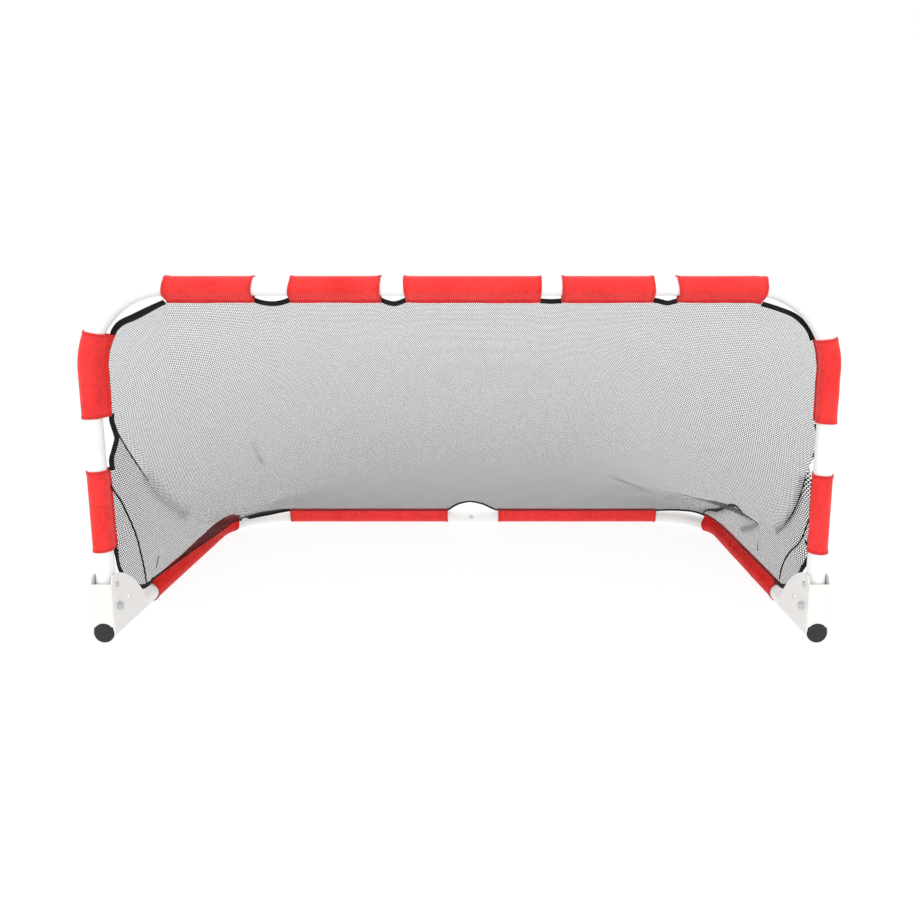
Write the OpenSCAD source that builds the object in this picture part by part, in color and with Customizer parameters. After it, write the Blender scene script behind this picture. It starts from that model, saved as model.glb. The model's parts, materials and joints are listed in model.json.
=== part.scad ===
// Folding goal: a front frame hinged to a ground frame, with a net between them.

/* [Goal] */
// Distance between the post axes
goal_w = 1200; // [1150:10:1300]
// Height of the crossbar axis above the ground
bar_h = 594; // [560:2:640]
// Distance from the post axes back to the rear bar axis
goal_d = 643; // [620:1:700]
// Bend radius of both frames, at the tube axis
bend_r = 135; // [120:5:150]

/* [Tubes] */
// Outside diameter of the front frame tube
post_d = 30; // [28:0.5:30]
// Outside diameter of the ground frame tube
base_d = 32; // [31:0.5:32]
// Wall of both tubes
wall = 1.2; // [1:0.1:1.5]
// Length of the reduced plug-in end of each frame
spigot_l = 60; // [50:5:70]
// Place of the crossbar joint, from the middle
bar_joint_x = 10; // [0:1:20]
// Place of the rear bar joint, from the middle
rear_joint_x = -28; // [-35:1:-20]

/* [Hinge bracket] */
// Height of the fold axis above the ground
pivot_z = 57.5; // [57:0.5:60]
// Distance of the lock button and lock holes from the fold axis
lock_r = 38; // [36:1:40]
// Sheet thickness of the hinge bracket
plate = 2; // [1.5:0.25:2.5]
// Inside width of the hinge bracket
channel_w = 32.6; // [32.6:0.1:33.4]
// Top of the front plate above the ground
web_top = 101; // [96:1:106]
// Radius of the lock button
button_r = 4.7; // [4.2:0.1:4.7]
// Radius of the pivot bolt
bolt_r = 4; // [3.5:0.5:4]

/* [Sleeves] */
// Thickness of the sleeve fabric
cloth = 0.9; // [0.6:0.1:0.9]
// How far a sleeve's sewn edge stands off the tube
tail_l = 14; // [8:1:15]
// Thickness of a sleeve's sewn edge
tail_t = 1.6; // [1.2:0.2:2]

/* [Net] */
// Thickness of the net panels
net_t = 1.2; // [1:0.2:1.6]
// Width of the edge binding
tape_w = 8; // [6:1:10]

/* [Hidden] */
$fn = 64;
eps = 0.1;
post_r = post_d / 2;
base_r = base_d / 2;
cap_r = 17;
cap_t = 4;
front_y = -18;                       // front end of the ground tubes
base_z = cap_r;                      // axis height of the ground frame
half_w = goal_w / 2;
cx = half_w - bend_r;                // centre of the bends, both frames
cz = bar_h - bend_r;
cy = goal_d - bend_r;
post_low = pivot_z - 9.5;            // lower end of the posts
y_mid = (goal_d + cap_r + front_y - cap_t) / 2;   // the origin is under the middle of the whole
chan = channel_w / 2;
web_y = front_y - 0.3;               // inner face of the front plate
sleeve_in = 0.1;
rear_button_x = rear_joint_x + 29;
bar_button_x = bar_joint_x + 29;

steel_white = [0.93, 0.93, 0.91];
bracket_white = [0.88, 0.87, 0.86];
zinc = [0.62, 0.63, 0.65];
fabric_red = [0.86, 0.15, 0.15];
net_grey = [0.55, 0.55, 0.55];
tape_black = [0.12, 0.12, 0.12];
cap_black = [0.2, 0.2, 0.19];

// The frames are drawn with the post axes at y = 0, then moved over the origin.
module placed() { translate([0, -y_mid, 0]) children(); }
// side: 1 is the right half, -1 the left half.
module on_side(side) { if (side > 0) children(); else mirror([1, 0, 0]) children(); }

// ---- Sections. Local x points out of the frame, local y is the frame's own normal.
module ring(ro, ri) { difference() { circle(r = ro); circle(r = ri); } }
// A sleeve's section: a ring round the tube, and its sewn edge towards angle a.
module sleeve_section(r, a) {
  difference() {
    union() {
      circle(r = r + sleeve_in + cloth);
      rotate(a) translate([0, -tail_t / 2]) square([r + tail_l, tail_t]);
    }
    circle(r = r + sleeve_in);
  }
}

// ---- Runs of the front frame, right half. The section is the child.
module bar_run(x0, x1) { translate([x0, 0, bar_h]) rotate([0, -90, 180]) linear_extrude(height = x1 - x0) children(); }
module post_run(z0, z1) { translate([half_w, 0, z1]) rotate([180, 0, 0]) linear_extrude(height = z1 - z0) children(); }
module front_bend(a) { translate([cx, 0, cz]) rotate([90, 0, 0]) rotate_extrude(angle = a, $fn = 96) translate([bend_r, 0]) children(); }
module front_bend_top(a) { translate([cx, 0, cz]) rotate([90, 0, 0]) rotate([0, 0, 90]) mirror([0, 1, 0]) rotate_extrude(angle = a, $fn = 96) translate([bend_r, 0]) children(); }
// ---- Runs of the ground frame, right half.
module rear_run(x0, x1) { translate([x0, goal_d, base_z]) rotate([90, 0, 90]) linear_extrude(height = x1 - x0) children(); }
module side_run(y0, y1) { translate([half_w, y1, base_z]) rotate([90, 0, 0]) linear_extrude(height = y1 - y0) children(); }
module ground_bend(a) { translate([cx, cy, base_z]) rotate_extrude(angle = a, $fn = 96) translate([bend_r, 0]) children(); }
module ground_bend_rear(a) { translate([cx, cy, base_z]) rotate([0, 0, 90]) mirror([0, 1, 0]) rotate_extrude(angle = a, $fn = 96) translate([bend_r, 0]) children(); }

// ---- Front frame
module front_half(side, joint_x, spigot) {
  difference() {
    on_side(side) union() {
      post_run(post_low, cz) ring(post_r, post_r - wall);
      front_bend(90) ring(post_r, post_r - wall);
      bar_run(side * joint_x, cx) ring(post_r, post_r - wall);
      // the end is stepped down to plug into the other half
      if (spigot) bar_run(side * joint_x, side * joint_x + 4) ring(post_r, post_r - 2 * wall - 0.05);
      if (spigot) bar_run(side * joint_x - spigot_l, side * joint_x + 4) ring(post_r - wall - 0.05, post_r - 2 * wall - 0.05);
    }
    // pivot hole, through both walls
    translate([side * half_w - 30, 0, pivot_z]) rotate([0, 90, 0]) cylinder(r = bolt_r + 0.05, h = 60);
    // lock button hole, inner wall only
    translate([side * (half_w - 22), 0, pivot_z + lock_r]) rotate([0, side * 90, 0]) cylinder(r = button_r + 0.1, h = 20);
    // button hole of the crossbar joint, rear face
    translate([bar_button_x, 0, bar_h]) rotate([-90, 0, 0]) cylinder(r = button_r + 0.1, h = 30);
  }
}
module front_left_tube() { color(steel_white) placed() front_half(-1, bar_joint_x, true); }
module front_right_tube() { color(steel_white) placed() front_half(1, bar_joint_x, false); }

// Spring clip: a leaf bent into a V, with a round button on one arm. The tube lies along local x, the button points along local z.
module clip(inner_r, reach) {
  low = -(inner_r - 1.6);
  rotate([90, 0, 0]) translate([0, 0, -4.5]) linear_extrude(height = 9)
    polygon([[-24, -1.4], [-22.5, -2.2], [14, low], [14, low + 0.8], [-21.6, -1], [-21.6, -0.4], [14, 6.4], [14, 7.2], [-22.5, 0.4], [-24, -0.4]]);
  rotate_extrude() polygon([[0, 4.2], [button_r, 4.2], [button_r, reach - 1.6], [button_r - 0.5, reach - 0.6], [button_r - 1.6, reach], [0, reach]]);
}
module crossbar_clip() { color(zinc) placed() translate([bar_button_x, 0, bar_h]) rotate([-90, 0, 0]) clip(post_r - 2 * wall - 0.05, post_r - 0.4); }
module lock_clip(side) { placed() translate([side * half_w, 0, pivot_z + lock_r]) rotate([0, side * -90, 0]) rotate([0, 0, side > 0 ? 180 : 0]) clip(post_r - wall, chan + plate + 2.2); }
module left_lock_clip() { color(zinc) lock_clip(-1); }
module right_lock_clip() { color(zinc) lock_clip(1); }

// ---- Sleeves of the front frame. Section angles: 180 points into the frame, 270 to the back of the goal.
bar_tail = 200;
post_tail = 217;
module bar_sleeve(x0, x1, bend_right = 0, bend_left = 0) {
  placed() {
    bar_run(x0, x1) sleeve_section(post_r, bar_tail);
    if (bend_right > 0) front_bend_top(bend_right) sleeve_section(post_r, bar_tail);
    if (bend_left > 0) mirror([1, 0, 0]) front_bend_top(bend_left) sleeve_section(post_r, bar_tail);
  }
}
module bar_sleeve_outer_left() { color(fabric_red) bar_sleeve(-cx, -329, 0, 3); }
module bar_sleeve_inner_left() { color(fabric_red) bar_sleeve(-272, -125); }
module bar_sleeve_centre() { color(fabric_red) bar_sleeve(-86, 131); }
module bar_sleeve_inner_right() { color(fabric_red) bar_sleeve(164, 312); }
module bar_sleeve_outer_right() { color(fabric_red) bar_sleeve(350, cx, 11, 0); }
module post_sleeve(side, z0, z1, bend = 0) {
  placed() on_side(side) {
    post_run(z0, z1) sleeve_section(post_r, post_tail);
    if (bend > 0) front_bend(bend) sleeve_section(post_r, post_tail);
  }
}
module post_sleeve_upper_left() { color(fabric_red) post_sleeve(-1, 381, cz, 27); }
module post_sleeve_lower_left() { color(fabric_red) post_sleeve(-1, 156, 294); }
module post_sleeve_upper_right() { color(fabric_red) post_sleeve(1, 373, cz, 23); }
module post_sleeve_lower_right() { color(fabric_red) post_sleeve(1, 153, 287); }

// ---- Ground frame
module ground_half(side, joint_x, spigot) {
  difference() {
    on_side(side) union() {
      side_run(front_y, cy) ring(base_r, base_r - wall);
      ground_bend(90) ring(base_r, base_r - wall);
      rear_run(side * joint_x, cx) ring(base_r, base_r - wall);
      // the end is stepped down to plug into the other half
      if (spigot) rear_run(side * joint_x, side * joint_x + 4) ring(base_r, base_r - 2 * wall - 0.05);
      if (spigot) rear_run(side * joint_x - spigot_l, side * joint_x + 4) ring(base_r - wall - 0.05, base_r - 2 * wall - 0.05);
    }
    // button hole of the rear joint, front face
    translate([rear_button_x, goal_d, base_z]) rotate([90, 0, 0]) cylinder(r = button_r + 0.1, h = 30);
  }
}
module ground_left_tube() { color(steel_white) placed() ground_half(-1, rear_joint_x, true); }
module ground_right_tube() { color(steel_white) placed() ground_half(1, rear_joint_x, false); }
module rear_clip() { color(zinc) placed() translate([rear_button_x, goal_d, base_z]) rotate([90, 0, 0]) clip(base_r - 2 * wall - 0.05, base_r + 2); }

// ---- Hinge bracket: a sheet channel, open to the back, with rounded cheeks.
function bez(a, b, c, d, t) = pow(1 - t, 3) * a + 3 * pow(1 - t, 2) * t * b + 3 * (1 - t) * t * t * c + pow(t, 3) * d;
cheek_outline = concat(
  [[web_y - plate, 13], [web_y - plate, web_top], [web_y + 1, web_top + 2], [-13, 114.5]],
  [for (i = [0:24]) bez([-10, 115.5], [30, 117], [88, 62], [103, 13], i / 24)]
);
module round_rect(x0, y0, x1, y1, r) {
  translate([x0 + r, y0]) square([x1 - x0 - 2 * r, y1 - y0]);
  translate([x0, y0 + r]) square([x1 - x0, y1 - y0 - 2 * r]);
  for (x = [x0 + r, x1 - r], y = [y0 + r, y1 - r]) translate([x, y]) circle(r = r);
}
module bracket(side) {
  placed() translate([side * half_w, 0, 0]) difference() {
    intersection() {
      translate([0, 0, 10]) linear_extrude(height = 110) difference() {
        round_rect(-chan - plate, web_y - plate, chan + plate, 140, plate + 1);
        round_rect(-chan, web_y, chan, 150, 1);
      }
      rotate([90, 0, 90]) translate([0, 0, -25]) linear_extrude(height = 50) polygon(cheek_outline);
    }
    // saddle over the ground tube and its cap
    translate([0, -40, base_z]) rotate([-90, 0, 0]) cylinder(r = cap_r + 0.3, h = 30);
    translate([-chan, -40, 0]) cube([2 * chan, 30, 27.5]);
    // pivot hole, lock hole and lock hole of the folded position
    translate([-30, 0, pivot_z]) rotate([0, 90, 0]) cylinder(r = bolt_r + 0.05, h = 60);
    translate([side * -30, 0, pivot_z + lock_r]) rotate([0, side * 90, 0]) cylinder(r = button_r + 0.3, h = 30);
    translate([side * -30, lock_r, pivot_z]) rotate([0, side * 90, 0]) cylinder(r = button_r + 0.3, h = 30);
  }
}
module left_bracket() { color(bracket_white) bracket(-1); }
module right_bracket() { color(bracket_white) bracket(1); }

// ---- End caps of the ground tubes: a flanged plug with a rounded face
module foot_cap(side) {
  placed() translate([side * half_w, front_y, base_z]) rotate([90, 0, 0]) rotate_extrude()
    polygon([[0, cap_t], [cap_r - 3, cap_t], [cap_r - 1.2, cap_t - 0.6], [cap_r - 0.3, cap_t - 1.8], [cap_r, cap_t - 2.6], [cap_r, 0],
             [base_r - wall - 0.05, 0], [base_r - wall - 0.05, -16], [base_r - wall - 2, -17], [base_r - wall - 2, -2], [0, -2]]);
}
module left_foot_cap() { color(cap_black) foot_cap(-1); }
module right_foot_cap() { color(cap_black) foot_cap(1); }

// ---- Pivot hardware: hexagon bolts with the head outside, nuts inside, and a spacer each side of the post
head_h = 5.3;
nut_h = 6.5;
module pivot_bolts() {
  color(zinc) placed() for (s = [-1, 1]) translate([s * half_w, 0, pivot_z]) rotate([0, s * 90, 0]) {
    translate([0, 0, -chan - plate - nut_h - 1.5]) cylinder(r = bolt_r, h = 2 * (chan + plate) + nut_h + 1.5);
    translate([0, 0, chan + plate]) cylinder(r = 7.5, h = head_h, $fn = 6);
  }
}
module pivot_nuts() {
  color(zinc) placed() for (s = [-1, 1]) translate([s * half_w, 0, pivot_z]) rotate([0, s * 90, 0])
    translate([0, 0, -chan - plate - nut_h]) difference() {
      cylinder(r = 7.5, h = nut_h, $fn = 6);
      translate([0, 0, -1]) cylinder(r = bolt_r + 0.05, h = nut_h + 2);
    }
}
module pivot_spacers() {
  color(cap_black) placed() for (s = [-1, 1], d = [-1, 1]) translate([s * half_w + d * (chan - 0.5), 0, pivot_z]) rotate([0, 90, 0])
    difference() {
      cylinder(r = 8.5, h = 1, center = true);
      cylinder(r = bolt_r + 0.05, h = 3, center = true);
    }
}

// ---- Sleeves of the ground frame. Section angles: 180 points into the frame, 90 up.
side_tail = 127;
rear_tail = 138;
module ground_sleeve(side, y0, bend, tail) {
  placed() on_side(side) {
    side_run(y0, cy) sleeve_section(base_r, tail);
    ground_bend(bend) sleeve_section(base_r, tail);
  }
}
module side_sleeve_left() { color(fabric_red) ground_sleeve(-1, 150, 28, side_tail); }
module side_sleeve_right() { color(fabric_red) ground_sleeve(1, 148, 27, side_tail); }
module rear_sleeve_left() { color(fabric_red) placed() rear_run(-460, -59) sleeve_section(base_r, rear_tail); }
module rear_sleeve_right() {
  color(fabric_red) placed() {
    rear_run(70, cx) sleeve_section(base_r, rear_tail);
    ground_bend_rear(3.5) sleeve_section(base_r, rear_tail);
  }
}

// ---- Net. The back panel lies in a slope from the crossbar sleeves down to the rear sleeves.
net_top = [11, bar_h - 28.5];
net_low = [goal_d - 24, 39];
net_run = norm(net_low - net_top);
net_slope = atan2(net_top[1] - net_low[1], net_low[0] - net_top[0]);
net_x = 577;
top_cut = [458, 116];                // half width of the top edge, and how far down the slope the cut corner ends
low_cut = [455, 130];
side_x = 580.4;
// The slope as a plane: local x across the goal, local y up the slope from the rear edge.
module slope() { translate([0, net_low[0], net_low[1]]) rotate([-net_slope, 0, 0]) mirror([0, 1, 0]) linear_extrude(height = net_t) children(); }
module net_back() {
  color(net_grey) placed() slope() polygon([
    [-low_cut[0], tape_w], [low_cut[0], tape_w], [net_x, low_cut[1]], [net_x, net_run - top_cut[1]], [top_cut[0], net_run - tape_w],
    [-top_cut[0], net_run - tape_w], [-net_x, net_run - top_cut[1]], [-net_x, low_cut[1]]]);
}
module binding_crossbar() { color(tape_black) placed() slope() translate([-top_cut[0], net_run - tape_w + 0.05]) square([2 * top_cut[0], tape_w - 0.05]); }
module binding_rear() { color(tape_black) placed() slope() translate([-low_cut[0], 0]) square([2 * low_cut[0], tape_w - 0.05]); }

// The side panels are upright, with the front lower corner cut off. A point is [y, z].
side_low = 47;
function hyp_z(y) = net_top[1] - 7 - (y - net_top[0]) * tan(net_slope);
function hyp_y(z) = net_top[0] + (net_top[1] - 7 - z) / tan(net_slope);
side_front = 19.5;
module side_plate(side) { placed() translate([side > 0 ? side_x : -side_x - net_t, 0, 0]) rotate([90, 0, 90]) linear_extrude(height = net_t) children(); }
in_front = side_front + tape_w;
in_low = side_low + tape_w;
module side_net() { polygon([[in_front, 163], [67, 104 + tape_w / 2], [144, in_low], [hyp_y(in_low) - 2, in_low], [in_front, hyp_z(in_front)]]); }
module side_binding() {
  polygon([[side_front, 160], [61, 99], [140, side_low], [hyp_y(in_low) - 2, side_low], [hyp_y(in_low) - 2, in_low - 0.05], [143.9, in_low - 0.05], [66.9, 103.9 + tape_w / 2], [in_front - 0.05, 162.9],
           [in_front - 0.05, hyp_z(in_front)], [side_front, hyp_z(in_front)]]);
}
module net_left() { color(net_grey) side_plate(-1) side_net(); }
module net_right() { color(net_grey) side_plate(1) side_net(); }
module binding_left() { color(tape_black) side_plate(-1) side_binding(); }
module binding_right() { color(tape_black) side_plate(1) side_binding(); }

front_left_tube();
front_right_tube();
crossbar_clip();
left_lock_clip();
right_lock_clip();
bar_sleeve_outer_left();
bar_sleeve_inner_left();
bar_sleeve_centre();
bar_sleeve_inner_right();
bar_sleeve_outer_right();
post_sleeve_upper_left();
post_sleeve_lower_left();
post_sleeve_upper_right();
post_sleeve_lower_right();
ground_left_tube();
ground_right_tube();
rear_clip();
left_bracket();
right_bracket();
left_foot_cap();
right_foot_cap();
pivot_bolts();
pivot_nuts();
pivot_spacers();
side_sleeve_left();
side_sleeve_right();
rear_sleeve_left();
rear_sleeve_right();
net_back();
net_left();
net_right();
binding_crossbar();
binding_rear();
binding_left();
binding_right();
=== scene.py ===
import bpy, bmesh, json, math
import numpy as np
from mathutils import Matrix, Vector

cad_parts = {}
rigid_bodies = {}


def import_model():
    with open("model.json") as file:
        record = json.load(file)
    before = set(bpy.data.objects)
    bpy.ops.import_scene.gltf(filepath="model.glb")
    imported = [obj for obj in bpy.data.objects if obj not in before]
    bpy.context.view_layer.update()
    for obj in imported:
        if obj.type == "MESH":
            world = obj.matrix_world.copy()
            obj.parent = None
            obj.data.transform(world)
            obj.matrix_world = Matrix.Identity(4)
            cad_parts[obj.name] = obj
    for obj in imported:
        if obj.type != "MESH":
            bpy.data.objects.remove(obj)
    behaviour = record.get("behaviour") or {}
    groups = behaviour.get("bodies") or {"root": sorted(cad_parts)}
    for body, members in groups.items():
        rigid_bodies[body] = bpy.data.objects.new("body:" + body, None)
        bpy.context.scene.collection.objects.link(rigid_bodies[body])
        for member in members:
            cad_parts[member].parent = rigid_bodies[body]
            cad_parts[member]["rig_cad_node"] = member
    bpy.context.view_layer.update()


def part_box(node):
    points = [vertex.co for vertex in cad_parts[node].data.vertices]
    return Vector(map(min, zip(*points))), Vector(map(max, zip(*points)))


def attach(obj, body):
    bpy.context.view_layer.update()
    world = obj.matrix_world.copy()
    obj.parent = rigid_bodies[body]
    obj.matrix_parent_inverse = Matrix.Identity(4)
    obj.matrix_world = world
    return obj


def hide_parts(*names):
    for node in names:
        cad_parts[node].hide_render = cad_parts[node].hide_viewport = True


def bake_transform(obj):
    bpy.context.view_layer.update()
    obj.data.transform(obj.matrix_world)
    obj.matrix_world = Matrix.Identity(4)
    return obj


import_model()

# ---------------------------------------------------------------- reference places, all from the CAD frame
_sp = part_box("pivot_spacers")
_mm = lambda v: np.array(v, float) * 1000.0
YP = float((_mm(_sp[0])[1] + _mm(_sp[1])[1]) / 2)       # y of the post axes in the row frame
ZPIV = float((_mm(_sp[0])[2] + _mm(_sp[1])[2]) / 2)     # z of the fold axis
_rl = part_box("ground_left_tube")
YREAR = float(_mm(_rl[1])[1]) - YP - 16.0               # rear bar axis, from the post axes
_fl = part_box("front_left_tube")
HBAR = float(_mm(_fl[1])[2]) - 15.0                     # crossbar axis height
HALF = -float(_mm(_fl[0])[0]) - 15.0                    # post axis x
RB = 135.0
CX, CZ, CY = HALF - RB, HBAR - RB, YREAR - RB
BZ = float(_mm(_rl[1])[2]) - 16.0                       # ground frame axis height
PR, GR = 15.0, 16.0                                     # tube radii
UP = lambda p: np.asarray(p, float) + np.array([0.0, YP, 0.0])   # post-axis frame to row frame, mm


# ---------------------------------------------------------------- small helpers
def noise1(x, seed, octaves=3):
    """Smooth repeatable noise from -1 to 1 for an array."""
    x = np.asarray(x, float)
    out, amp, tot = np.zeros_like(x), 1.0, 0.0
    for o in range(octaves):
        rng = np.random.default_rng(seed * 131 + o)
        t = rng.uniform(-1, 1, 512)
        f = x * (2 ** o)
        i = np.floor(f).astype(int)
        w = f - i
        w = w * w * (3 - 2 * w)
        out += amp * (t[i % 512] * (1 - w) + t[(i + 1) % 512] * w)
        tot += amp
        amp *= 0.5
    return out / tot


def noise2(x, y, seed, octaves=3):
    x, y = np.broadcast_arrays(np.asarray(x, float), np.asarray(y, float))
    out, amp, tot = np.zeros_like(x), 1.0, 0.0
    for o in range(octaves):
        rng = np.random.default_rng(seed * 977 + o)
        t = rng.uniform(-1, 1, (64, 64))
        fx, fy = x * (2 ** o), y * (2 ** o)
        ix, iy = np.floor(fx).astype(int), np.floor(fy).astype(int)
        wx, wy = fx - ix, fy - iy
        wx, wy = wx * wx * (3 - 2 * wx), wy * wy * (3 - 2 * wy)
        a = t[ix % 64, iy % 64] * (1 - wx) + t[(ix + 1) % 64, iy % 64] * wx
        b = t[ix % 64, (iy + 1) % 64] * (1 - wx) + t[(ix + 1) % 64, (iy + 1) % 64] * wx
        out += amp * (a * (1 - wy) + b * wy)
        tot += amp
        amp *= 0.5
    return out / tot


def unit(v):
    v = np.asarray(v, float)
    return v / np.maximum(np.linalg.norm(v, axis=-1, keepdims=True), 1e-12)


def smooth(t):
    t = np.clip(t, 0, 1)
    return t * t * (3 - 2 * t)


def make(name, verts, faces, mat, smooth_on=True, uv=None, uv2=None):
    me = bpy.data.meshes.new(name)
    v = UP(verts) / 1000.0
    me.from_pydata([tuple(p) for p in v], [], [tuple(int(i) for i in f) for f in faces])
    me.validate()
    for layer_name, values in (("cloth", uv), ("edge", uv2)):
        if values is not None:
            layer = me.uv_layers.new(name=layer_name)
            idx = np.empty(len(me.loops), np.int32)
            me.loops.foreach_get("vertex_index", idx)
            layer.data.foreach_set("uv", np.asarray(values, np.float32)[idx].ravel())
    me.polygons.foreach_set("use_smooth", [smooth_on] * len(me.polygons))
    me.update()
    ob = bpy.data.objects.new(name, me)
    bpy.context.scene.collection.objects.link(ob)
    ob.data.materials.append(mat)
    return ob


def resample(points, n):
    p = np.asarray(points, float)
    d = np.r_[0, np.cumsum(np.linalg.norm(np.diff(p, axis=0), axis=1))]
    s = np.linspace(0, d[-1], n)
    return np.stack([np.interp(s, d, p[:, k]) for k in range(3)], 1)


def spline(points, n):
    """A smooth curve through the points, evenly spaced."""
    p = np.asarray(points, float)
    q = np.vstack([2 * p[0] - p[1], p, 2 * p[-1] - p[-2]])
    out = []
    for i in range(1, len(q) - 2):
        a, b, c, d = q[i - 1], q[i], q[i + 1], q[i + 2]
        ta = max(np.linalg.norm(b - a), 1e-6) ** 0.5
        tb = max(np.linalg.norm(c - b), 1e-6) ** 0.5
        tc = max(np.linalg.norm(d - c), 1e-6) ** 0.5
        m1 = (b - a) / ta - (c - a) / (ta + tb) + (c - b) / tb
        m2 = (c - b) / tb - (d - b) / (tb + tc) + (d - c) / tc
        m1, m2 = m1 * tb, m2 * tb
        for t in np.linspace(0, 1, 24, endpoint=False):
            out.append((2 * t**3 - 3 * t**2 + 1) * b + (t**3 - 2 * t**2 + t) * m1 + (-2 * t**3 + 3 * t**2) * c + (t**3 - t**2) * m2)
    out.append(p[-1])
    return resample(np.array(out), n)


# ---------------------------------------------------------------- materials
def new_mat(name):
    m = bpy.data.materials.new(name)
    m.use_nodes = True
    nt = m.node_tree
    nt.nodes.clear()
    out = nt.nodes.new("ShaderNodeOutputMaterial")
    bsdf = nt.nodes.new("ShaderNodeBsdfPrincipled")
    nt.links.new(bsdf.outputs[0], out.inputs[0])
    return m, nt, bsdf, out


def node(nt, kind, **sets):
    n = nt.nodes.new(kind)
    for k, v in sets.items():
        if k.startswith("_"):
            setattr(n, k[1:], v)
        else:
            n.inputs[k.replace("__", " ")].default_value = v
    return n


def math_node(nt, op, a, b=None, clamp=False):
    n = nt.nodes.new("ShaderNodeMath")
    n.operation = op
    n.use_clamp = clamp
    for i, v in enumerate((a, b)):
        if v is None:
            continue
        if isinstance(v, (int, float)):
            n.inputs[i].default_value = v
        else:
            nt.links.new(v, n.inputs[i])
    return n.outputs[0]


def ramp(nt, fac, stops):
    n = nt.nodes.new("ShaderNodeValToRGB")
    while len(n.color_ramp.elements) < len(stops):
        n.color_ramp.elements.new(0.5)
    for e, (p, c) in zip(n.color_ramp.elements, stops):
        e.position = p
        e.color = (*c, 1) if len(c) == 3 else c
    nt.links.new(fac, n.inputs[0])
    return n.outputs[0]


def paint(name, base, rough=0.34, peel=0.0006, tint=0.03):
    """Powder coat: a faint orange peel, small changes of gloss and a little handling dirt."""
    m, nt, b, _ = new_mat(name)
    tc = node(nt, "ShaderNodeTexCoord")
    big = node(nt, "ShaderNodeTexNoise", Scale=9.0, Detail=3.0)
    fine = node(nt, "ShaderNodeTexNoise", Scale=420.0, Detail=2.0)
    for n in (big, fine):
        nt.links.new(tc.outputs["Object"], n.inputs["Vector"])
    col = ramp(nt, big.outputs[0], [(0.3, tuple(c * (1 - tint) for c in base)), (0.62, base)])
    nt.links.new(col, b.inputs["Base Color"])
    r = math_node(nt, "MULTIPLY_ADD", big.outputs[0], 0.12)
    r.node.inputs[2].default_value = rough - 0.06
    nt.links.new(r, b.inputs["Roughness"])
    bump = node(nt, "ShaderNodeBump", Strength=0.12, Distance=peel)
    nt.links.new(fine.outputs[0], bump.inputs["Height"])
    nt.links.new(bump.outputs[0], b.inputs["Normal"])
    b.inputs["Coat Weight"].default_value = 0.25
    b.inputs["Coat Roughness"].default_value = 0.18
    return m


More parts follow.
